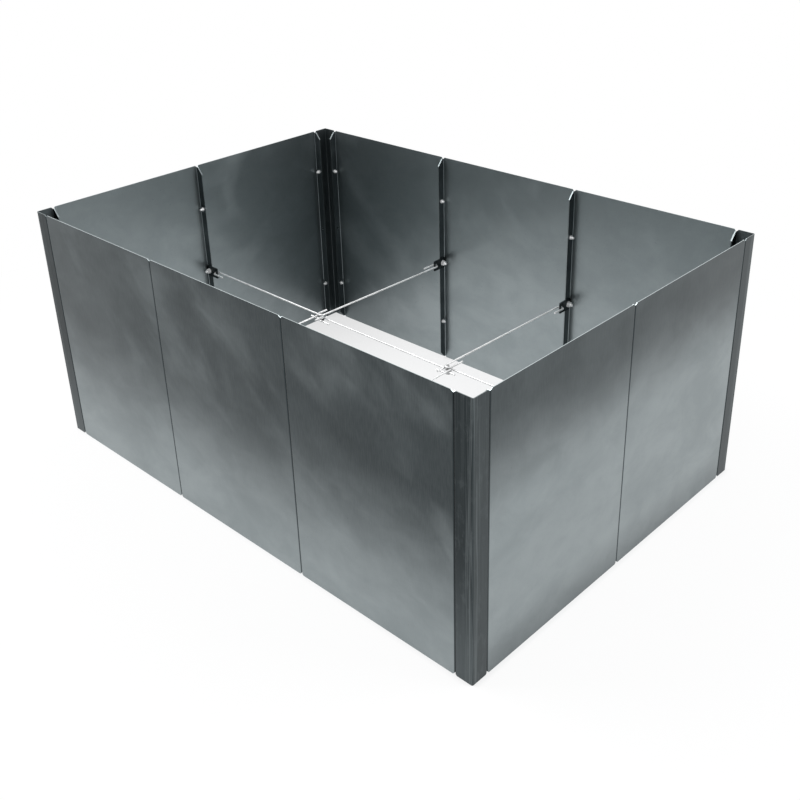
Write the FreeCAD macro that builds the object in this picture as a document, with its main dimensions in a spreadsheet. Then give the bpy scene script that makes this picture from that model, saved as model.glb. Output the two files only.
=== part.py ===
import FreeCAD, Part
import math
import os
import Sketcher

os.makedirs("parts", exist_ok=True)
doc = FreeCAD.newDocument("raised_bed")
Vector, Rotation, Placement = FreeCAD.Vector, FreeCAD.Rotation, FreeCAD.Placement
upAxis = Vector(0, 0, 1)

# Driving sizes in millimetres. Depths are measured inwards from a wall's outer face.
driving = {
    "panel_width": 600,     # one wall panel with its share of the seams
    "post_face": 60,        # width of a corner post on each of its two walls
    "wall_height": 850,
    "sheet_thick": 2,
    "bend_inside": 2.5,     # inside radius of every sheet bend
    "seam_gap": 0.3,        # left between two flanges that are bolted together
    "flange_depth": 30,     # outer face to the tip of a flange
    "notch_run": 25,        # corner cut from each flange end, along the end
    "notch_drop": 30,       # and down the flange
    "corner_relief": 7,     # small corner cut from the outer face at each seam end
    "hole_depth": 17,       # outer face to the centre of the flange holes
    "hole_margin": 170,     # wall end to the nearest flange hole
    "small_bolt": 8,
    "tie_bolt": 10,
    "bolt_play": 1,         # a hole is this much wider than its bolt
    "thread_play": 0.3,     # a nut's bore is this much wider than its bolt
    "small_flats": 13,
    "small_head": 5.3,
    "small_nut": 6.5,
    "tie_flats": 17,
    "tie_head": 6.4,
    "tie_nut": 8.4,
    "bolt_proud": 9,        # bolt end past its nut
    "washer_rim": 5.2,      # washer width round the tie bolt's hole
    "washer_thick": 2,
    "bracket_thick": 4,
    "bracket_tall": 42,
    "bracket_heel": 11,     # tie bolt centre to the bracket's end at the wall
    "bracket_nose": 36,     # flange tip to the bracket's inner end
    "bracket_round": 2,     # radius of the bracket's corners
    "lip_width": 9,         # lip that keeps the hook in the slot
    "lip_hang": 1.7,        # lip edge below the wire
    "slot_room": 3,         # room round the wire behind the lip
    "mouth_room": 0.8,      # room round the wire as it goes in
    "wire_size": 6,
    "wire_play": 0.2,       # a hook and what it pulls on
    "level_gap": 0.4,       # between the hooks stacked on a pin
    "pin_size": 8,
    "hook_room": 9,         # a hook's inside is this much wider than the pin
    "pin_proud": 1.5,       # pin end above the top hook
    "pin_flange": 2,        # pin flange past a hook's inside, below the lowest,
    "flange_thick": 2,      # and its thickness
    "pin_edge": 0.8,        # chamfer on the pin's top and bottom edges
    "short_leg": 38,        # pin centre to the end of a hook's free leg
    "long_leg": 56,
    "wall_leg": 45,         # free leg of a hook in a bracket, from its bend
}
sheet = doc.addObject("Spreadsheet::Sheet", "sizes")
for row, (alias, number) in enumerate(driving.items(), 1):
    sheet.set(f"A{row}", alias)
    sheet.set(f"B{row}", str(number))
    sheet.setAlias(f"B{row}", alias)
doc.recompute()


class Size:
    """A length that carries its number and the sheet expression that gives it."""

    def __init__(self, text, value):
        self.text, self.value = text, value

    def __add__(self, other):
        other = asSize(other)
        return Size(f"({self.text} + {other.text})", self.value + other.value)

    def __sub__(self, other):
        other = asSize(other)
        return Size(f"({self.text} - {other.text})", self.value - other.value)

    def __mul__(self, factor):
        return Size(f"({self.text} * {factor})", self.value * factor)

    def __neg__(self):
        return self * -1


def asSize(number):
    return number if isinstance(number, Size) else Size(str(number), number)


def size(alias):
    return Size(f"sizes.{alias}", float(sheet.get(alias)))


# Sizes that follow from the driving ones
longNames, crossNames = ["left", "middle", "right"], ["left", "right"]
pitch, postFace, height = size("panel_width"), size("post_face"), size("wall_height")
halfLength = pitch * (len(longNames) / 2) + postFace
halfWidth = pitch * (len(crossNames) / 2) + postFace
thick, gap, flange = size("sheet_thick"), size("seam_gap"), size("flange_depth")
bendInside = size("bend_inside")
bendOutside = bendInside + thick
holeDepth, holeMargin = size("hole_depth"), size("hole_margin")
tieHeight = height * 0.5
smallBolt, tieBolt, boltPlay = size("small_bolt"), size("tie_bolt"), size("bolt_play")
wire, wirePlay = size("wire_size"), size("wire_play")
pinRadius = size("pin_size") * 0.5
hookBend = pinRadius + (size("hook_room") + wire) * 0.5     # centre line of a hook
level = wire + size("level_gap")
bracketThick, bracketTall = size("bracket_thick"), size("bracket_tall")
bracketHeel = size("bracket_heel")
bracketEnd = flange + size("bracket_nose")
slotWall = bracketEnd - size("lip_width")                   # lip edge that the hook pulls on
flangeFace = gap * 0.5 + thick                              # seam plane to a flange's far face
bracketPlane = flangeFace + bracketThick * 0.5              # seam plane to the bracket's middle
zero = asSize(0)


def originPlane(body, role):
    return next(f for f in body.Origin.OriginFeatures if f.Role == role)


def newBody(label):
    body = doc.addObject("PartDesign::Body", label)
    body.Label = label
    return body


def newSketch(body, name, role, offset=None):
    sketch = body.newObject("Sketcher::SketchObject", name)
    sketch.AttachmentSupport = [(originPlane(body, role), "")]
    sketch.MapMode = "FlatFace"
    if offset:
        sketch.setExpression("AttachmentOffset.Base.z", offset.text)
    return sketch


def pinPoint(sketch, geo, point, x, y):
    """Hold one point of a sketch at x, y from the sketch's origin."""
    for kind, axis, coordinate in (("DistanceX", -2, x), ("DistanceY", -1, y)):
        if coordinate is zero:
            sketch.addConstraint(Sketcher.Constraint("PointOnObject", geo, point, axis))
            continue
        index = sketch.addConstraint(
            Sketcher.Constraint(kind, -1, 1, geo, point, coordinate.value))
        sketch.setExpression(f"Constraints[{index}]", coordinate.text)


def drawOutline(sketch, corners):
    """Closed outline of straight lines through corners given as (x, y) sizes."""
    first = sketch.GeometryCount
    points = [Vector(x.value, y.value, 0) for x, y in corners]
    lines = [Part.LineSegment(a, b) for a, b in zip(points, points[1:] + points[:1])]
    sketch.addGeometry(lines, False)
    for i, (x, y) in enumerate(corners):
        after = first + (i + 1) % len(corners)
        sketch.addConstraint(Sketcher.Constraint("Coincident", first + i, 2, after, 1))
        pinPoint(sketch, first + i, 1, x, y)


def drawCircle(sketch, x, y, diameter):
    circle = Part.Circle(Vector(x.value, y.value, 0), upAxis, diameter.value / 2)
    geo = sketch.addGeometry(circle, False)
    index = sketch.addConstraint(Sketcher.Constraint("Diameter", geo, diameter.value))
    sketch.setExpression(f"Constraints[{index}]", diameter.text)
    pinPoint(sketch, geo, 3, x, y)


def extrude(body, kind, name, sketch, length, symmetric=False, reverse=False):
    feature = body.newObject(f"PartDesign::{kind}", name)
    feature.Profile = sketch
    feature.SideType = "Symmetric" if symmetric else "One side"
    feature.Reversed = reverse
    feature.setExpression("Length", length.text)
    return feature


def roundEdges(body, name, radius, axis, spots):
    """Fillet the edges along one axis that pass through the given spots."""
    doc.recompute()
    base, wanted = body.Tip, []
    for number, edge in enumerate(base.Shape.Edges, 1):
        ends = [v.Point for v in edge.Vertexes]
        along = len(ends) == 2 and (ends[1] - ends[0]).cross(axis).Length < 1e-6
        if along and any((ends[0] - spot).cross(axis).Length < 1e-3 for spot in spots):
            wanted.append(f"Edge{number}")
    feature = body.newObject("PartDesign::Fillet", name)
    feature.Base = (base, wanted)
    feature.setExpression("Radius", radius.text)


def trimFlange(body, name, role, offset, reach, symmetric=False, reverse=False):
    """Cut a flange's two end corners and its three holes, seen square to the flange."""
    before = body.Shape.Volume
    run, drop = size("notch_run"), size("notch_drop")
    corners = newSketch(body, f"{name}_corners", role, offset)
    drawOutline(corners, [(flange - run, height), (flange, height), (flange, height - drop)])
    drawOutline(corners, [(flange - run, zero), (flange, zero), (flange, drop)])
    extrude(body, "Pocket", f"{name}_notches", corners, reach, symmetric, reverse)
    holes = newSketch(body, f"{name}_hole_spots", role, offset)
    for spot in (holeMargin, height - holeMargin):
        drawCircle(holes, holeDepth, spot, smallBolt + boltPlay)
    drawCircle(holes, holeDepth, tieHeight, tieBolt + boltPlay)
    extrude(body, "Pocket", f"{name}_holes", holes, reach, symmetric, reverse)
    doc.recompute()
    assert body.Shape.Volume < before, f"{body.Label}: the flange was not cut"


def relieveCorners(body, name, role, edges, reverse=False):
    """Cut the small corner where a face meets a seam, at both ends, seen square to the face."""
    before = body.Shape.Volume
    relief = size("corner_relief")
    sketch = newSketch(body, f"{name}_reliefs", role)
    for edge, side in edges:
        inside = edge - relief * side
        drawOutline(sketch, [(inside, height), (edge, height), (edge, height - relief)])
        drawOutline(sketch, [(inside, zero), (edge, zero), (edge, relief)])
    extrude(body, "Pocket", f"{name}_relief_cuts", sketch, flange, reverse=reverse)
    doc.recompute()
    assert body.Shape.Volume < before, f"{body.Label}: the corners were not cut"


def wallPanel(label):
    """Sheet folded to a shallow channel, its outer face on the XZ plane."""
    body = newBody(label)
    half = (pitch - gap) * 0.5
    profile = newSketch(body, f"{label}_profile", "XY_Plane")
    inner = half - thick
    drawOutline(profile, [(-half, zero), (half, zero), (half, flange), (inner, flange),
                          (inner, thick), (-inner, thick), (-inner, flange), (-half, flange)])
    extrude(body, "Pad", f"{label}_web", profile, height)
    x, y = inner.value, thick.value
    roundEdges(body, f"{label}_inner_bends", bendInside, upAxis,
               [Vector(x, y, 0), Vector(-x, y, 0)])
    x = half.value
    roundEdges(body, f"{label}_outer_bends", bendOutside, upAxis,
               [Vector(x, 0, 0), Vector(-x, 0, 0)])
    doc.recompute()
    trimFlange(body, label, "YZ_Plane", None, pitch, symmetric=True)
    relieveCorners(body, label, "XZ_Plane", [(half, 1), (-half, -1)])
    return body


def cornerPost(label):
    """Folded angle with its outer corner on the Z axis and a flange at each edge."""
    body = newBody(label)
    edge = postFace - gap * 0.5
    inner = edge - thick
    half = [(edge, zero), (edge, flange), (inner, flange), (inner, thick)]
    mirrored = [(y, x) for x, y in reversed(half)]
    profile = newSketch(body, f"{label}_profile", "XY_Plane")
    drawOutline(profile, [(zero, zero)] + half + [(thick, thick)] + mirrored)
    extrude(body, "Pad", f"{label}_angle", profile, height)
    x, y = inner.value, thick.value
    roundEdges(body, f"{label}_inner_bends", bendInside, upAxis,
               [Vector(x, y, 0), Vector(y, y, 0), Vector(y, x, 0)])
    x = edge.value
    roundEdges(body, f"{label}_outer_bends", bendOutside, upAxis,
               [Vector(x, 0, 0), Vector(0, 0, 0), Vector(0, x, 0)])
    doc.recompute()
    reach = bendOutside + thick
    trimFlange(body, f"{label}_first", "YZ_Plane", edge, reach)
    trimFlange(body, f"{label}_second", "XZ_Plane", -edge, reach, reverse=True)
    relieveCorners(body, f"{label}_first", "XZ_Plane", [(edge, 1)])
    relieveCorners(body, f"{label}_second", "YZ_Plane", [(edge, 1)], reverse=True)
    return body


def tieBracket(label):
    """Claw plate on the YZ plane, its bolt hole at the height of the origin."""
    body = newBody(label)
    top, start = bracketTall * 0.5, holeDepth - bracketHeel
    slotBack = slotWall - wire - size("slot_room")
    slotTop = wire * 0.5 + size("slot_room")
    lipEdge = -(wire * 0.5 + size("lip_hang"))
    prong = lipEdge - wire - size("mouth_room")
    profile = newSketch(body, f"{label}_profile", "YZ_Plane")
    drawOutline(profile, [(start, -top), (bracketEnd, -top), (bracketEnd, prong),
                          (slotBack, prong), (slotBack, slotTop), (slotWall, slotTop),
                          (slotWall, lipEdge), (bracketEnd, lipEdge), (bracketEnd, top),
                          (start, top)])
    drawCircle(profile, holeDepth, zero, tieBolt + boltPlay)
    extrude(body, "Pad", f"{label}_plate", profile, bracketThick, symmetric=True)
    spots = [(start, -top), (start, top), (bracketEnd, top), (bracketEnd, -top),
             (bracketEnd, prong), (slotBack, prong), (slotBack, slotTop),
             (slotWall, slotTop), (slotWall, lipEdge), (bracketEnd, lipEdge)]
    roundEdges(body, f"{label}_corners", size("bracket_round"), Vector(1, 0, 0),
               [Vector(0, y.value, z.value) for y, z in spots])
    return body


def tieRod(label, span, firstLeg, lastLeg):
    """Wire with a U hook at each end; the hooks' bends are centred on the X axis."""
    body = newBody(label)
    route = newSketch(body, f"{label}_route", "XY_Plane")
    bend, reach = hookBend.value, span.value
    ends = firstLeg.value, reach - lastLeg.value
    route.addGeometry([
        Part.LineSegment(Vector(ends[0], -bend, 0), Vector(0, -bend, 0)),
        Part.ArcOfCircle(Part.Circle(Vector(0, 0, 0), upAxis, bend),
                         math.pi / 2, 3 * math.pi / 2),
        Part.LineSegment(Vector(0, bend, 0), Vector(reach, bend, 0)),
        Part.ArcOfCircle(Part.Circle(Vector(reach, 0, 0), upAxis, bend),
                         -math.pi / 2, math.pi / 2),
        Part.LineSegment(Vector(reach, -bend, 0), Vector(ends[1], -bend, 0)),
    ], False)
    start, end, middle = 1, 2, 3
    rule = Sketcher.Constraint
    for one in (rule("Coincident", 0, end, 1, end), rule("Coincident", 1, start, 2, start),
                rule("Coincident", 2, end, 3, end), rule("Coincident", 3, start, 4, start),
                rule("Coincident", 1, middle, -1, 1), rule("PointOnObject", 2, start, -2),
                rule("PointOnObject", 0, end, -2), rule("PointOnObject", 3, middle, -1),
                rule("Horizontal", 0), rule("Horizontal", 2), rule("Horizontal", 4),
                rule("Vertical", 3, middle, 3, end), rule("Vertical", 3, middle, 3, start)):
        route.addConstraint(one)
    sized = (("Radius", (1, bend), hookBend),
             ("DistanceX", (-1, 1, 3, middle, reach), span),
             ("DistanceX", (-1, 1, 0, start, ends[0]), firstLeg),
             ("DistanceX", (-1, 1, 4, end, ends[1]), span - lastLeg))
    for kind, points, length in sized:
        index = route.addConstraint(rule(kind, *points))
        route.setExpression(f"Constraints[{index}]", length.text)
    section = newSketch(body, f"{label}_section", "YZ_Plane", firstLeg)
    drawCircle(section, -hookBend, zero, wire)
    sweep = body.newObject("PartDesign::AdditivePipe", f"{label}_wire")
    sweep.Profile = section
    sweep.Spine = (route, [])
    return body


def tiePin(label):
    """Upright pin that four hooks pull on, with a flange under the lowest one."""
    body = newBody(label)
    top = level * 1.5 + wire * 0.5 + size("pin_proud")
    seat = -(level * 1.5 + wire * 0.5 + wirePlay)
    flangeRadius = hookBend - wire * 0.5 + size("pin_flange")
    profile = newSketch(body, f"{label}_profile", "XZ_Plane")
    foot, edge = seat - size("flange_thick"), size("pin_edge")
    drawOutline(profile, [(zero, foot), (flangeRadius - edge, foot),
                          (flangeRadius, foot + edge), (flangeRadius, seat),
                          (pinRadius, seat), (pinRadius, top - edge),
                          (pinRadius - edge, top), (zero, top)])
    turned = body.newObject("PartDesign::Revolution", f"{label}_turned")
    turned.Profile = profile
    turned.ReferenceAxis = (profile, ["V_Axis"])
    turned.Angle = 360
    return body


def hexPiece(name, flats, thickness, below):
    """Hexagonal prism on the Z axis; below puts it under the origin."""
    prism = doc.addObject("Part::Prism", name)
    prism.Polygon = 6
    prism.setExpression("Circumradius", (flats * (1 / math.sqrt(3))).text)
    prism.setExpression("Height", thickness.text)
    if below:
        prism.setExpression("Placement.Base.z", (-thickness).text)
    return prism


def cylinder(name, diameter, length):
    piece = doc.addObject("Part::Cylinder", name)
    piece.setExpression("Radius", (diameter * 0.5).text)
    piece.setExpression("Height", length.text)
    return piece


def combine(kind, name, base, tool):
    piece = doc.addObject(f"Part::{kind}", name)
    piece.Base, piece.Tool = base, tool
    return piece


def bolt(name, diameter, flats, head, length):
    return combine("Fuse", name, hexPiece(f"{name}_head", flats, head, True),
                   cylinder(f"{name}_shank", diameter, length))


def nut(name, diameter, flats, thickness):
    bore = cylinder(f"{name}_bore", diameter + size("thread_play"), thickness)
    return combine("Cut", name, hexPiece(f"{name}_hex", flats, thickness, False), bore)


class Wall:
    """One side of the bed, with its own frame: X along it, Y inwards."""

    def __init__(self, name, turn, names, nutSide):
        self.name, self.turn, self.names, self.nutSide = name, turn, names, nutSide
        self.along, self.inward = [
            (round(math.cos(math.radians(a))), round(math.sin(math.radians(a))))
            for a in (turn, turn + 90)]
        away = halfWidth if self.inward[0] == 0 else halfLength
        self.base = [away * -step for step in self.inward]

    def spot(self, x, y):
        return [self.base[i] + x * self.along[i] + y * self.inward[i] for i in (0, 1)]

    def panelCentres(self):
        count = len(self.names)
        return [pitch * (i - (count - 1) / 2) for i in range(count)]

    def seams(self):
        count = len(self.names)
        return [pitch * (i - count / 2) for i in range(count + 1)]

    def innerSeams(self):
        return self.seams()[1:-1]


def place(piece, spot, z, rotation):
    """Put a piece at spot (x, y) and height z, all bound to the sheet."""
    x, y = spot
    piece.Placement = Placement(Vector(x.value, y.value, z.value), rotation)
    for axis, coordinate in zip("xyz", (x, y, z)):
        piece.setExpression(f"Placement.Base.{axis}", coordinate.text)


def turned(degrees):
    return Rotation(upAxis, degrees)


nodes = []      # the sub-parts, one file each
front = Wall("front", 0, longNames, 1)
right = Wall("right", 90, crossNames, -1)
rear = Wall("rear", 180, longNames[::-1], -1)
left = Wall("left", 270, crossNames[::-1], 1)
walls = [front, right, rear, left]

# Panels and posts. Names are as seen from the front; left and right walls count from it.
endNames = {"left": "front", "right": "rear"}
for wall in walls:
    for centre, name in zip(wall.panelCentres(), wall.names):
        name = name if wall in (front, rear) else endNames[name]
        panel = wallPanel(f"{wall.name}_panel_{name}")
        place(panel, wall.spot(centre, zero), zero, turned(wall.turn))
        nodes.append(panel)
corners = {"front_left": front, "front_right": right, "rear_right": rear, "rear_left": left}
for name, wall in corners.items():
    post = cornerPost(f"corner_post_{name}")
    place(post, wall.spot(wall.seams()[0] - postFace, zero), zero, turned(wall.turn))
    nodes.append(post)

# Brackets on the seams between two panels, one tie rod from each, and the pins.
rods, brackets = [], []
hookSeat = slotWall - wirePlay - wire * 0.5 + hookBend     # depth of a bracket hook's centre
hookPull = hookBend - wire * 0.5 - wirePlay - pinRadius    # pin centre to its hooks' centres
pinSpots = {}
for wall in walls:
    for seam in wall.innerSeams():
        across = seam + bracketPlane * wall.nutSide
        side = "" if wall in (left, right) else ("_left" if wall.along[0] * seam.value < 0
                                                 else "_right")
        label = f"tie_bracket_{wall.name}{side}"
        bracket = tieBracket(label)
        place(bracket, wall.spot(across, zero), tieHeight, turned(wall.turn))
        nodes.append(bracket)
        brackets.append((wall, side, across))
crossLine = left.spot(left.innerSeams()[0] + bracketPlane * left.nutSide, zero)[1]
for wall, side, across in brackets:
    if wall is front:
        pinSpots[side] = [wall.spot(across, zero)[0], crossLine]

# Each hook's height on its pin, counted in levels from the height of the brackets,
# and whether the rod's free legs lie on the other side of it.
stack = {"rear": 1.5, "front": 0.5, "left": -0.5, "right": -0.5}
turnedOver = {"rear_right", "front_right", "right"}
for wall, side, across in brackets:
    nearest = side if wall in (front, rear) else f"_{wall.name}"
    pin = pinSpots[nearest]
    hook = wall.spot(across, hookSeat)
    axis = 0 if wall.inward[0] else 1
    span = (pin[axis] - hook[axis]) * wall.inward[axis] - hookPull
    leg = size("long_leg") if wall.name + side == "rear_right" else size("short_leg")
    rod = tieRod(f"tie_rod_{wall.name}{side}", span, size("wall_leg"), leg - hookPull)
    rise = stack[wall.name] * level.value
    tilt = Rotation(Vector(0, 1, 0), -math.degrees(math.asin(rise / span.value)))
    over = Rotation(Vector(1, 0, 0), 180 if wall.name + side in turnedOver else 0)
    place(rod, hook, tieHeight, turned(wall.turn + 90) * tilt * over)
    rods.append(rod)
first, last = pinSpots["_left"], pinSpots["_right"]
middleRod = tieRod("tie_rod_middle", last[0] - first[0] - hookPull * 2,
                   size("long_leg") - hookPull, size("short_leg") - hookPull)
place(middleRod, [first[0] + hookPull, first[1]], tieHeight - level * 1.5, turned(0))
nodes += rods + [middleRod]
for side, spot in pinSpots.items():
    pin = tiePin(f"tie_pin{side}")
    place(pin, spot, tieHeight, turned(0))
    nodes.append(pin)

# One pattern piece of each fastener, its axis on Z and its bearing face at the origin.
stackUp = flangeFace * 2
proud = size("bolt_proud")
smallNut, tieNut, washerThick = size("small_nut"), size("tie_nut"), size("washer_thick")
patterns = {
    "flange_bolts": bolt("small_bolt_pattern", smallBolt, size("small_flats"),
                         size("small_head"), stackUp + smallNut + proud),
    "flange_nuts": nut("small_nut_pattern", smallBolt, size("small_flats"), smallNut),
    "tie_bolts": bolt("tie_bolt_pattern", tieBolt, size("tie_flats"), size("tie_head"),
                      stackUp + bracketThick + washerThick + tieNut + proud),
    "tie_nuts": nut("tie_nut_pattern", tieBolt, size("tie_flats"), tieNut),
    "tie_washers": combine(
        "Cut", "washer_pattern",
        cylinder("washer_disc", tieBolt + boltPlay + size("washer_rim") * 2, washerThick),
        cylinder("washer_bore", tieBolt + boltPlay, washerThick)),
}
doc.recompute()
for obj in doc.Objects:
    assert not {"Invalid", "Error"} & set(obj.State), f"{obj.Label} failed"

# Copies of the patterns at every hole that carries a bolt.
groups = {name: [] for name in patterns}


def addCopy(group, wall, seam, z, inFront):
    """Copy a pattern onto a seam; inFront is how far it lies on the nuts' side."""
    x, y = wall.spot(seam + inFront * wall.nutSide, holeDepth)
    facing = Rotation(upAxis, Vector(*wall.along, 0) * wall.nutSide)
    where = Placement(Vector(x.value, y.value, z.value), facing)
    copy = patterns[group].Shape.copy()
    copy.Placement = where.multiply(copy.Placement)
    groups[group].append(copy)


for wall in walls:
    for seam in wall.seams():
        for z in (holeMargin, height - holeMargin):
            addCopy("flange_bolts", wall, seam, z, -flangeFace)
            addCopy("flange_nuts", wall, seam, z, flangeFace)
    for seam in wall.innerSeams():
        washerFace = flangeFace + bracketThick
        addCopy("tie_bolts", wall, seam, tieHeight, -flangeFace)
        addCopy("tie_washers", wall, seam, tieHeight, washerFace)
        addCopy("tie_nuts", wall, seam, tieHeight, washerFace + washerThick)
for name, copies in groups.items():
    group = doc.addObject("Part::Feature", name)
    group.Label = name
    group.Shape = Part.makeCompound(copies)
    nodes.append(group)

doc.recompute()
for obj in doc.Objects:
    assert not {"Invalid", "Error"} & set(obj.State), f"{obj.Label} failed"
for node in nodes:
    shape = node.Shape
    assert not shape.isNull() and shape.isValid(), f"{node.Label} has no valid shape"
    shape.exportStep(f"parts/{node.Label}.step")
    print(node.Label, len(shape.Solids), round(shape.Volume))
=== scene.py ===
import math
import bpy
import bmesh
from mathutils import Matrix, Vector


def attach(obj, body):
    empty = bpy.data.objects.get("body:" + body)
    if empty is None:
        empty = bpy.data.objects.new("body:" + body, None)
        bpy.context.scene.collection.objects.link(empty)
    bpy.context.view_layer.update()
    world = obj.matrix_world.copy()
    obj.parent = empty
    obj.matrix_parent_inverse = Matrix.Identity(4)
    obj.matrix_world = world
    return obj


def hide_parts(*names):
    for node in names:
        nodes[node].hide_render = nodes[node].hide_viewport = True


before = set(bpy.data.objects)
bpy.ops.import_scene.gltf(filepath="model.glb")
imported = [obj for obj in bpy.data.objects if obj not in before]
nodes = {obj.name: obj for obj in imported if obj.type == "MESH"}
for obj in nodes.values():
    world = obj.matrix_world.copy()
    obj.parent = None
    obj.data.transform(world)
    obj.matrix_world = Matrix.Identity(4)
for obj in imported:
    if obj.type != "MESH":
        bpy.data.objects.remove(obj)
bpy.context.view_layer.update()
print("frame loaded,", len(nodes), "nodes")

bed = {"halfLength": 0.96, "halfWidth": 0.66, "panel": 0.6, "height": 0.85}


class Sock:     # an output socket; each operator adds a Math node
    def __init__(self, shader, out):
        self.shader, self.out = shader, out

    def __add__(self, other):
        return self.shader.calc("ADD", self, other)

    def __radd__(self, other):
        return self.shader.calc("ADD", other, self)

    def __sub__(self, other):
        return self.shader.calc("SUBTRACT", self, other)

    def __rsub__(self, other):
        return self.shader.calc("SUBTRACT", other, self)

    def __mul__(self, other):
        return self.shader.calc("MULTIPLY", self, other)

    def __rmul__(self, other):
        return self.shader.calc("MULTIPLY", other, self)

    def __abs__(self):
        return self.shader.calc("ABSOLUTE", self)


class Shader:       # the node tree of a material or of the world
    def __init__(self, owner):
        owner.use_nodes = True
        self.owner, self.tree = owner, owner.node_tree
        self.tree.nodes.clear()

    def node(self, kind, settings=None, inputs=None, output=0):
        made = self.tree.nodes.new(kind)
        for key, value in (settings or {}).items():
            setattr(made, key, value)
        for key, value in (inputs or {}).items():
            if isinstance(value, Sock):
                self.tree.links.new(value.out, made.inputs[key])
            else:
                made.inputs[key].default_value = value
        return Sock(self, made.outputs[output]) if made.outputs else None

    def calc(self, operation, *values):
        return self.node("ShaderNodeMath", {"operation": operation}, dict(enumerate(values)))

    def mix(self, factor, a, b, blend="MIX"):
        a, b = [c if isinstance(c, Sock) else (*c, 1) for c in (a, b)]
        return self.node("ShaderNodeMix", {"data_type": "RGBA", "blend_type": blend},
                         {0: factor, 6: a, 7: b}, output=2)

    def spread(self, value, start, end, toStart=0.0, toEnd=1.0):    # smooth step
        return self.node("ShaderNodeMapRange", {"interpolation_type": "SMOOTHSTEP"},
                         {0: value, 1: start, 2: end, 3: toStart, 4: toEnd})

    def noise(self, scale, detail=3.0, rough=0.5, stretch=(1, 1, 1), turn=(0, 0, 0), warp=0.0):
        where = self.node("ShaderNodeTexCoord", output="Object")
        laid = self.node("ShaderNodeMapping", {"vector_type": "TEXTURE"},
                         {0: where, 2: turn, 3: stretch})
        return self.node("ShaderNodeTexNoise", {"noise_dimensions": "3D"},
                         {"Vector": laid, "Scale": scale, "Detail": detail,
                          "Roughness": rough, "Distortion": warp})

    def split(self, vector):
        return [self.node("ShaderNodeSeparateXYZ", None, {0: vector}, axis) for axis in range(3)]

    def place(self):        # x, y and z on the object, in metres
        return self.split(self.node("ShaderNodeTexCoord", output="Object"))

    def normal(self):
        return self.split(self.node("ShaderNodeNewGeometry", output="Normal"))

    def metal(self, colour, roughness, height, relief, metallic=1.0):
        bump = self.node("ShaderNodeBump", None, {
            "Height": height, "Distance": relief["depth"], "Strength": relief["strength"]})
        self.finish(self.node("ShaderNodeBsdfPrincipled", None, {
            "Base Color": colour, "Metallic": metallic, "Roughness": roughness, "Normal": bump}))
        return self.owner

    def finish(self, surface, kind="ShaderNodeOutputMaterial"):
        self.node(kind, None, {"Surface": surface})


def newShader(name):
    return Shader(bpy.data.materials.new(name))


def tone(*channels):        # a screen colour, 0 to 255, made linear
    return tuple(((c / 255 + 0.055) / 1.055) ** 2.4 if c > 10 else c / 255 / 12.92
                 for c in channels)


coolness = {"lift": 1.02, "green": 5, "blue": 7}        # how steel's grey leans to blue


def steel(grey):
    lifted = grey * coolness["lift"]
    return tone(grey, lifted + coolness["green"], lifted + coolness["blue"])


viewpoint = {"azimuth": 44.4687, "elevation": 25.6588, "roll": -1.7436,
             "place": (2.26453, -2.21345, 2.02069), "lens": 47.291, "sensor": 36,
             "shiftY": -0.10, "nearest": 0.05, "farthest": 100}


def makeCamera(v):
    a, e, r = [math.radians(v[angle]) for angle in ("azimuth", "elevation", "roll")]
    back = Vector((math.sin(a) * math.cos(e), -math.cos(a) * math.cos(e), math.sin(e)))
    right = Vector((math.cos(a), math.sin(a), 0))
    up = back.cross(right)
    tiltedRight = right * math.cos(r) + up * math.sin(r)
    tiltedUp = up * math.cos(r) - right * math.sin(r)
    data = bpy.data.cameras.new("camera")
    data.lens, data.sensor_width, data.shift_y = v["lens"], v["sensor"], v["shiftY"]
    data.clip_start, data.clip_end = v["nearest"], v["farthest"]
    camera = bpy.data.objects.new("camera", data)
    turn = Matrix((tiltedRight, tiltedUp, back)).transposed().to_4x4()
    camera.matrix_world = Matrix.Translation(Vector(v["place"])) @ turn
    bpy.context.collection.objects.link(camera)
    bpy.context.scene.camera = camera


makeCamera(viewpoint)
print("camera placed")


# In every finish a range is what spread() takes: start, end and, where it isn't 0 to 1,
# what they turn into. Noises are what noise() takes.

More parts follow.
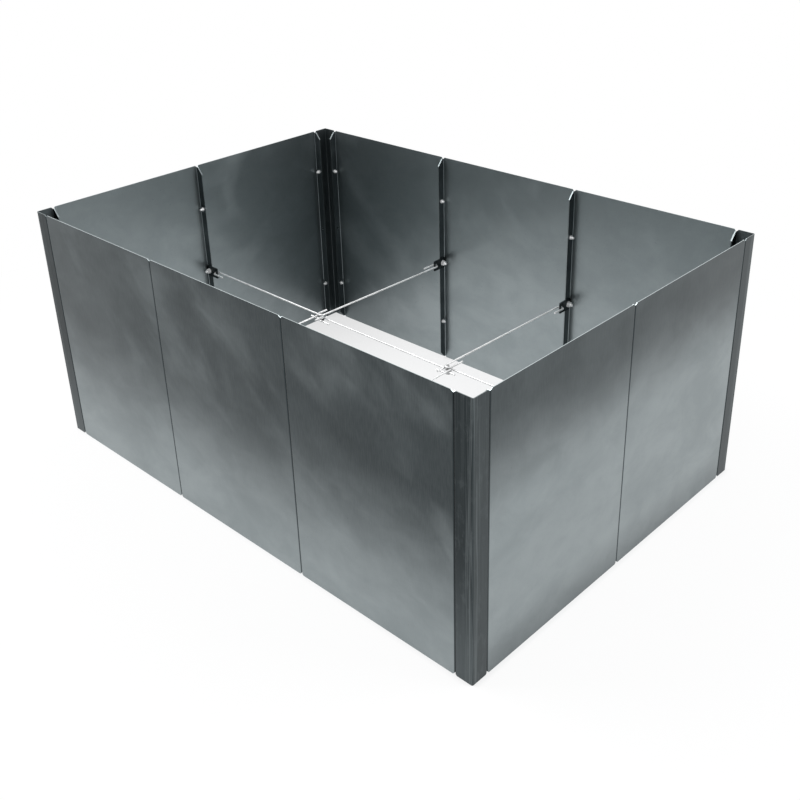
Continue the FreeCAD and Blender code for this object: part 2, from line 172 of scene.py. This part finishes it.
wallSteel = {
    "shortWallsFrom": 0.915,        # past this distance from the middle, along the bed
    "facingOut": (0.0, 0.3),
    "cloud": {"scale": 2.1, "stretch": (1, 1, 0.7), "warp": 0.5},
    # long walls outside: painted reflection and shade, light at the foot, dark at the top, paler at
    # the far end
    "low": steel(147), "high": steel(66), "highFar": steel(80), "farEnd": (-0.85, 0.25),
    "turn": (0.04, 0.57), "turnWanders": 0.10,
    # short walls outside: painted reflection and shade, light low down, dark at the top, darker
    # again at the very foot
    "shortLow": steel(148), "shortHigh": steel(79), "shortTurn": (0.43, 0.78),
    "shortTurnWanders": 0.09, "foot": steel(119), "footHeight": (0.15, 0.0),
    # inside: painted shade, darker towards the rear left corner and on the flanges
    "inside": steel(157), "corner": steel(118), "cornerReach": (0.0, 0.80),
    "flange": steel(78), "webTurn": (0.3, 0.7),
    # smears, stains, specks and grain
    "sweep": {"scale": 2.6, "stretch": (1, 1, 0.5), "turn": (0.5, 0.62, 0.3), "warp": 0.4},
    "fleck": {"scale": 9, "rough": 0.55, "stretch": (1, 1, 0.4), "turn": (0.5, 0.6, 0.3),
              "warp": 0.5},
    "smearTone": steel(186), "smearRange": (0.46, 0.74), "fleckRange": (0.4, 0.75, 0.7, 1.0),
    "smear": 0.19,
    "patch": {"scale": 5.5, "detail": 5, "rough": 0.6, "stretch": (1, 1, 0.7), "warp": 0.3},
    "patchTone": steel(60), "patchRange": (0.3, 0.7, 0, 0.22),
    "specks": {"scale": 150, "detail": 2}, "speckTone": steel(52),
    "speckRange": (0.68, 0.78, 0, 0.2),
    "grain": {"scale": 420, "detail": 2, "stretch": (1, 1, 14)}, "grainTone": steel(190),
    "grainRange": (0.35, 0.65, 0, 0.025),
    # by the way they face: bends at the seams, with painted shade on bends turned one way and a
    # painted highlight on those turned the other, and the cut corners and the top edge
    "grooveShade": steel(52), "grooveRange": (0.26, 0.46, 0, 0.8),
    "glint": steel(150), "glintRange": (0.20, 0.45, 0, 0.5),
    "slant": steel(128), "slantRange": (0.3, 0.5),
    "relief": steel(190), "reliefRange": (0.66, 0.70),
    "edge": steel(205), "edgeRange": (0.8, 0.95),
    "roughness": 0.36, "roughPatch": 0.16, "roughSmear": 0.12, "roughGrain": 0.06,
    "dents": {"scale": 2.6, "detail": 1, "rough": 0.4}, "grainHeight": 0.02,
    "bump": {"depth": 0.004, "strength": 0.5},
}


def makeWallSteel(look):
    m = newShader("wallSheetSteel")
    (x, y, z), (nx, ny, nz) = m.place(), m.normal()
    short = m.calc("GREATER_THAN", abs(x), look["shortWallsFrom"])
    outward = ny * m.calc("SIGN", y) * (1 - short) + nx * m.calc("SIGN", x) * short
    outside = m.spread(outward, *look["facingOut"])
    cloud = m.noise(**look["cloud"]) - 0.5
    # painted reflection and shade on the long outer faces: light at the foot, dark at the top,
    # paler at the far end
    high = m.mix(m.spread(x, *look["farEnd"]), look["highFar"], look["high"])
    height = z + cloud * look["turnWanders"]
    longFace = m.mix(m.spread(height, *look["turn"]), look["low"], high)
    # painted reflection and shade on the short outer faces, darker again at the very foot
    foot = m.mix(m.spread(z, *look["footHeight"]), look["shortLow"], look["foot"])
    height = z + cloud * look["shortTurnWanders"]
    shortFace = m.mix(m.spread(height, *look["shortTurn"]), foot, look["shortHigh"])
    outer = m.mix(short, longFace, shortFace)
    # painted shade inside: darker towards the rear left corner, darker still on the flanges
    fromCorner = x - y + (bed["halfLength"] + bed["halfWidth"])
    inner = m.mix(m.spread(fromCorner, *look["cornerReach"]), look["corner"], look["inside"])
    inner = m.mix(m.spread(abs(outward), *look["webTurn"]), look["flange"], inner)
    base = m.mix(outside, inner, outer)
    smear = m.spread(m.noise(**look["sweep"]), *look["smearRange"])
    smear = smear * m.spread(m.noise(**look["fleck"]), *look["fleckRange"])
    base = m.mix(smear * look["smear"], base, look["smearTone"])
    patch = m.noise(**look["patch"])
    base = m.mix(m.spread(patch, *look["patchRange"]), base, look["patchTone"], "SOFT_LIGHT")
    specks = m.noise(**look["specks"])
    base = m.mix(m.spread(specks, *look["speckRange"]), base, look["speckTone"])
    grain = m.noise(**look["grain"])
    base = m.mix(m.spread(grain, *look["grainRange"]), base, look["grainTone"])
    # painted shade on the seam bends turned one way, a painted highlight on those turned the other
    bend = nx * ny * outside
    base = m.mix(m.spread(bend * -1, *look["grooveRange"]), base, look["grooveShade"])
    base = m.mix(m.spread(bend, *look["glintRange"]), base, look["glint"])
    level = abs(nz)
    for facing in ("slant", "relief", "edge"):
        base = m.mix(m.spread(level, *look[facing + "Range"]), base, look[facing])
    roughness = (look["roughness"] + (patch - 0.5) * look["roughPatch"]
                 + smear * look["roughSmear"] + (grain - 0.5) * look["roughGrain"])
    dents = m.noise(**look["dents"]) + grain * look["grainHeight"]
    return m.metal(base, roughness, dents, look["bump"])


postSteel = {
    "facingOut": (0.0, 0.3), "shortWallTurn": (0.3, 0.7),
    # outer faces: painted shade and reflection, the long faces darker than the short ones and
    # lighter low down
    "long": steel(46), "longLow": steel(80), "lowHeight": (0.45, 0.0), "short": steel(66),
    "inside": steel(96),
    "drawn": {"scale": 240, "detail": 2, "rough": 0.6, "stretch": (1, 1, 90)},
    "line": steel(118), "lineRange": (0.47, 0.62), "lineReach": (0.034, 0.010, 0.08, 0.45),
    "mottle": {"scale": 60, "detail": 4, "rough": 0.65, "stretch": (1, 1, 2.4)},
    "mottleTone": steel(112), "mottleRange": (0.5, 0.72, 0, 0.18),
    # painted shade in the groove beside the bend
    "grooveShade": steel(28), "grooveReach": (0.0555, 0.0585, 0, 0.85),
    "edge": steel(150), "edgeRange": (0.3, 0.5),
    "roughness": 0.42, "roughLines": 0.2, "roughMottle": 0.15,
    "bump": {"depth": 0.0004, "strength": 0.4},
}


def makePostSteel(look):
    m = newShader("postSheetSteel")
    (x, y, z), (nx, ny, nz) = m.place(), m.normal()
    outward = nx * m.calc("SIGN", x) + ny * m.calc("SIGN", y)
    outside = m.spread(outward, *look["facingOut"])
    # painted shade and reflection: long faces darker than short ones, lighter low down
    longFace = m.mix(m.spread(z, *look["lowHeight"]), look["long"], look["longLow"])
    outer = m.mix(m.spread(abs(nx), *look["shortWallTurn"]), longFace, look["short"])
    base = m.mix(outside, look["inside"], outer)
    drawn = m.noise(**look["drawn"])
    fromBend = (bed["halfLength"] - abs(x)) + (bed["halfWidth"] - abs(y))
    lines = m.spread(drawn, *look["lineRange"]) * m.spread(fromBend, *look["lineReach"])
    base = m.mix(lines * outside, base, look["line"])
    mottle = m.noise(**look["mottle"])
    base = m.mix(m.spread(mottle, *look["mottleRange"]), base, look["mottleTone"])
    # painted shade in the groove beside the bend
    grooveShade = m.spread(fromBend, *look["grooveReach"])
    base = m.mix(grooveShade * outside, base, look["grooveShade"])
    base = m.mix(m.spread(abs(nz), *look["edgeRange"]), base, look["edge"])
    roughness = (look["roughness"] + (drawn - 0.5) * look["roughLines"]
                 + (mottle - 0.5) * look["roughMottle"])
    return m.metal(base, roughness, drawn + mottle, look["bump"])


bracketSteel = {
    "plate": steel(42), "worn": steel(95),
    "wear": {"scale": 90, "detail": 4, "rough": 0.6}, "wearRange": (0.5, 0.7, 0, 0.4),
    "levelRange": (0.3, 0.8, 0, 0.5), "roughness": 0.4, "roughWear": 0.3,
    "pits": {"scale": 300, "detail": 2}, "bump": {"depth": 0.0003, "strength": 0.3},
}


def makeBracketSteel(look):
    m = newShader("bracketPlate")
    nz = m.normal()[2]
    wear = m.spread(m.noise(**look["wear"]), *look["wearRange"])
    base = m.mix(wear, look["plate"], look["worn"])
    base = m.mix(m.spread(abs(nz), *look["levelRange"]), base, look["worn"])
    roughness = look["roughness"] + wear * look["roughWear"]
    return m.metal(base, roughness, m.noise(**look["pits"]), look["bump"])


tieWire = {"bright": 244, "dull": 206, "grain": 26, "roughness": 0.30, "metallic": 0.60}
zinc = {"bright": 252, "dull": 205, "grain": 120, "roughness": 0.22, "metallic": 0.45}
pinSteel = {"bright": 165, "dull": 110, "grain": 120, "roughness": 0.35, "metallic": 1.0}
brightWork = {
    "dullRange": (0.42, 0.72), "roughDull": 0.2, "detail": 4, "rough": 0.6,
    "pits": {"scale": 800, "detail": 2}, "bump": {"depth": 0.0001, "strength": 0.2},
}


def makeBright(name, look, shared):
    m = newShader(name)
    clouded = m.noise(look["grain"], shared["detail"], shared["rough"])
    dull = m.spread(clouded, *shared["dullRange"])
    base = m.mix(dull, tone(*[look["bright"]] * 3), tone(*[look["dull"]] * 3))
    roughness = look["roughness"] + dull * shared["roughDull"]
    return m.metal(base, roughness, m.noise(**shared["pits"]), shared["bump"],
                   look["metallic"])


finishes = {
    "_panel_": makeWallSteel(wallSteel),
    "corner_post": makePostSteel(postSteel),
    "tie_bracket": makeBracketSteel(bracketSteel),
    "tie_rod": makeBright("tieWire", tieWire, brightWork),
    "tie_pin": makeBright("tiePin", pinSteel, brightWork),
}
fastenerFinish = makeBright("zincFastener", zinc, brightWork)
for name, node in nodes.items():
    finish = next((made for word, made in finishes.items() if word in name), fastenerFinish)
    for holder in node.material_slots:
        holder.material = finish
print("finishes set")


seams = {"holeDepth": 0.017, "holeMargin": 0.17, "flangeFace": 0.00215,
         "bracket": 0.004, "washer": 0.002}
smallSet = {"size": 0.008, "flats": 0.013, "head": 0.0053, "nut": 0.0065, "pitch": 0.00125,
            "bore": 0.0083, "proud": 0.009}
tieSet = {"size": 0.010, "flats": 0.017, "head": 0.0064, "nut": 0.0084, "pitch": 0.0015,
          "bore": 0.0103, "proud": 0.009, "washerSize": 0.0214, "washerBore": 0.011,
          "washerEdge": 0.00025}
# shares of a fastener's own sizes, but for the counts, the slope and boreEdge, in metres
cut = {"steps": 48, "rim": 0.475, "dish": 0.5, "slope": math.radians(30), "threadDepth": 0.55,
       "rowsPerPitch": 4, "runOut": 0.8, "runOutRadius": 0.9, "tip": 0.38, "boreFlare": 1.1,
       "boreEdge": 0.0005}
walls = [       # turn in degrees, outer face's distance, panels, side that the nuts are on
    (0, "halfWidth", 3, 1), (90, "halfLength", 2, -1),
    (180, "halfWidth", 3, -1), (270, "halfLength", 2, 1)]
angles = [2 * math.pi * i / cut["steps"] for i in range(cut["steps"])]


def skin(mesh, rings, around=False):        # quads between rings of points
    rows = [[mesh.verts.new(p) for p in ring] for ring in rings]
    for low, high in zip(rows, rows[1:] + (rows[:1] if around else [])):
        for i in range(len(low)):
            j = (i + 1) % len(low)
            mesh.faces.new((low[i], low[j], high[j], high[i]))
    return rows


def roundRing(r, z):
    return [(r * math.cos(a), r * math.sin(a), z) for a in angles]


def hexRing(flats, z, limit=None):      # past the limit a chamfer takes the corners off
    points = []
    for a in angles:
        within = (a + math.pi / 6) % (math.pi / 3) - math.pi / 6
        r = flats / 2 / math.cos(within)
        drop = 0 if limit is None else max(0, r - limit) * math.tan(cut["slope"])
        points.append((r * math.cos(a), r * math.sin(a), z - drop))
    return points


def threadRing(s, z, end):      # one row of a helical thread that runs out at the end
    runOut = min(1, (end - z) / (s["pitch"] * cut["runOut"]))
    least = cut["runOutRadius"]
    points = []
    for i, a in enumerate(angles):
        phase = (z / s["pitch"] - i / len(angles)) % 1
        depth = s["pitch"] * cut["threadDepth"] * (1 - abs(2 * phase - 1))
        r = (s["size"] / 2 - depth) * (least + (1 - least) * runOut)
        points.append((r * math.cos(a), r * math.sin(a), z))
    return points


def flip(points):
    return [(x, y, -z) for x, y, z in points]


def boltMesh(s, grip):      # head under z = 0, shank along +Z
    mesh = bmesh.new()
    rim, end, rowStep = s["flats"] * cut["rim"], grip + s["proud"], s["pitch"] / cut["rowsPerPitch"]
    rings = [flip(roundRing(rim * cut["dish"], s["head"])), flip(roundRing(rim, s["head"])),
             flip(hexRing(s["flats"], s["head"], rim)), hexRing(s["flats"], 0),
             roundRing(s["size"] / 2, 0), roundRing(s["size"] / 2, grip)]
    z = grip + rowStep
    while z < end - rowStep:
        rings.append(threadRing(s, z, end))
        z += rowStep
    rings.append(roundRing(s["size"] * cut["tip"], end))
    rows = skin(mesh, rings)
    mesh.faces.new(list(reversed(rows[0])))
    mesh.faces.new(rows[-1])
    return mesh


def nutMesh(s):         # bearing face at z = 0
    mesh = bmesh.new()
    t, bore, rim = s["nut"], s["bore"] / 2, s["flats"] * cut["rim"]
    flare, edge = bore * cut["boreFlare"], cut["boreEdge"]
    upper = hexRing(s["flats"], t, rim)
    lower = [(x, y, t - z) for x, y, z in upper]
    skin(mesh, [roundRing(bore, edge), roundRing(flare, 0), roundRing(rim, 0), lower,
                upper, roundRing(rim, t), roundRing(flare, t), roundRing(bore, t - edge)],
         around=True)
    return mesh


def washerMesh(s, t):
    mesh = bmesh.new()
    r, bore, edge = s["washerSize"] / 2, s["washerBore"] / 2, s["washerEdge"]
    skin(mesh, [roundRing(bore, 0), roundRing(r - edge, 0), roundRing(r, edge),
                roundRing(r, t - edge), roundRing(r - edge, t), roundRing(bore, t)],
         around=True)
    return mesh


def seamSpots():        # seat()'s first four values for each seam, and if it is between panels
    for turn, away, count, nutSide in walls:
        for k in range(count + 1):
            offset = (k - count / 2) * bed["panel"]
            yield turn, -bed[away], offset, nutSide, 0 < k < count


def seat(turn, away, offset, nutSide, z, out):      # out is from the seam towards the nuts
    wall = Matrix.Rotation(math.radians(turn), 4, "Z")
    place = wall @ Matrix.Translation((offset + out * nutSide, away + seams["holeDepth"], z))
    return place @ Matrix.Rotation(math.radians(90 * nutSide), 4, "Y")


def gather(name, node, pattern, places):        # copies of one mesh as one piece
    whole = bpy.data.meshes.new(name)
    single = bpy.data.meshes.new(name + "One")
    bmesh.ops.recalc_face_normals(pattern, faces=pattern.faces)
    pattern.to_mesh(single)
    made = bmesh.new()
    for place in places:
        start = len(made.verts)
        made.from_mesh(single)
        made.verts.ensure_lookup_table()
        bmesh.ops.transform(made, matrix=place, verts=made.verts[start:])
    made.to_mesh(whole)
    bpy.data.meshes.remove(single)
    whole.materials.append(fastenerFinish)
    piece = bpy.data.objects.new(name, whole)
    bpy.context.collection.objects.link(piece)
    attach(piece, "root")
    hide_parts(node)


heights = (seams["holeMargin"], bed["height"] - seams["holeMargin"])
middle = bed["height"] / 2
face = seams["flangeFace"]
washerFace = face + seams["bracket"]
nutFace = washerFace + seams["washer"]
flangeSeats = [(spot, z) for *spot, inner in seamSpots() for z in heights]
tieSeats = [spot for *spot, inner in seamSpots() if inner]
gather("flangeBolts", "flange_bolts", boltMesh(smallSet, face * 2 + smallSet["nut"]),
       [seat(*spot, z, -face) for spot, z in flangeSeats])
gather("flangeNuts", "flange_nuts", nutMesh(smallSet),
       [seat(*spot, z, face) for spot, z in flangeSeats])
gather("tieBolts", "tie_bolts", boltMesh(tieSet, face + nutFace + tieSet["nut"]),
       [seat(*spot, middle, -face) for spot in tieSeats])
gather("tieNuts", "tie_nuts", nutMesh(tieSet),
       [seat(*spot, middle, nutFace) for spot in tieSeats])
gather("tieWashers", "tie_washers", washerMesh(tieSet, seams["washer"]),
       [seat(*spot, middle, washerFace) for spot in tieSeats])
print("fasteners made")


studio = {
    "floor": (0.86, 0.86, 0.87), "floorDim": 0.985, "mottle": {"scale": 3.0, "detail": 2},
    "mottleRange": (0.3, 0.7), "size": 30.0, "below": 0.0006,
    # how white the floor looks within the bed, beside it and far off; within the bed it glows less,
    # painted shade on top of its real shadow
    "within": 0.66, "around": 0.90, "bedEdge": (0.0, 0.02), "fade": (0.3, 1.6),
    "sky": 0.75,
}
lamps = [       # squares, in metres and watts
    {"place": (-2.2, -1.8, 4.2), "size": 3.0, "power": 150, "aim": (0, 0, 0.2)},
    {"place": (3.2, 1.6, 3.6), "size": 2.4, "power": 90, "aim": (0, 0, 0.3)},
]


def lookedAt(m):        # 1 for what the camera, a gloss or a clear piece looks at
    camera, glossy, clear = [m.node("ShaderNodeLightPath", output=ray) for ray in
                             ("Is Camera Ray", "Is Glossy Ray", "Is Transmission Ray")]
    return m.calc("MINIMUM", camera + glossy + clear, 1.0)


def makeFloor(s):
    mesh = bpy.data.meshes.new("floor")
    r, z = s["size"], -s["below"]
    mesh.from_pydata([(-r, -r, z), (r, -r, z), (r, r, z), (-r, r, z)], [], [(0, 1, 2, 3)])
    floor = bpy.data.objects.new("floor", mesh)
    bpy.context.collection.objects.link(floor)
    m = newShader("paleFloor")
    x, y = m.place()[:2]
    away = m.calc("MAXIMUM", abs(x) - bed["halfLength"], abs(y) - bed["halfWidth"])
    # less glow within the bed: painted shade on top of the floor's real shadow
    white = s["within"] + m.spread(away, *s["bedEdge"]) * (s["around"] - s["within"])
    white = white + m.spread(away, *s["fade"]) * (1 - s["around"])
    mottle = m.spread(m.noise(**s["mottle"]), *s["mottleRange"])
    paper = m.mix(mottle, s["floor"], [c * s["floorDim"] for c in s["floor"]])
    plain = m.node("ShaderNodeBsdfDiffuse", None, {"Color": paper})
    glow = m.node("ShaderNodeEmission", None, {"Color": (1, 1, 1, 1), "Strength": 1.0})
    m.finish(m.node("ShaderNodeMixShader", None, {0: lookedAt(m) * white, 1: plain, 2: glow}))
    mesh.materials.append(m.owner)


def makeWorld(s):
    world = bpy.data.worlds.new("studio")
    bpy.context.scene.world = world
    m = Shader(world)
    colour = m.mix(lookedAt(m), (s["sky"],) * 3, (1, 1, 1))
    m.finish(m.node("ShaderNodeBackground", None, {"Color": colour, "Strength": 1.0}),
             "ShaderNodeOutputWorld")


def makeLamp(number, lamp):
    data = bpy.data.lights.new(f"softbox{number}", "AREA")
    data.shape, data.size, data.energy = "SQUARE", lamp["size"], lamp["power"]
    item = bpy.data.objects.new(data.name, data)
    item.location = lamp["place"]
    away = Vector(lamp["place"]) - Vector(lamp["aim"])
    item.rotation_euler = away.to_track_quat("Z", "Y").to_euler()
    bpy.context.collection.objects.link(item)


makeFloor(studio)
makeWorld(studio)
for number, lamp in enumerate(lamps):
    makeLamp(number, lamp)
bpy.context.scene.view_settings.view_transform = "Standard"
print("studio made")
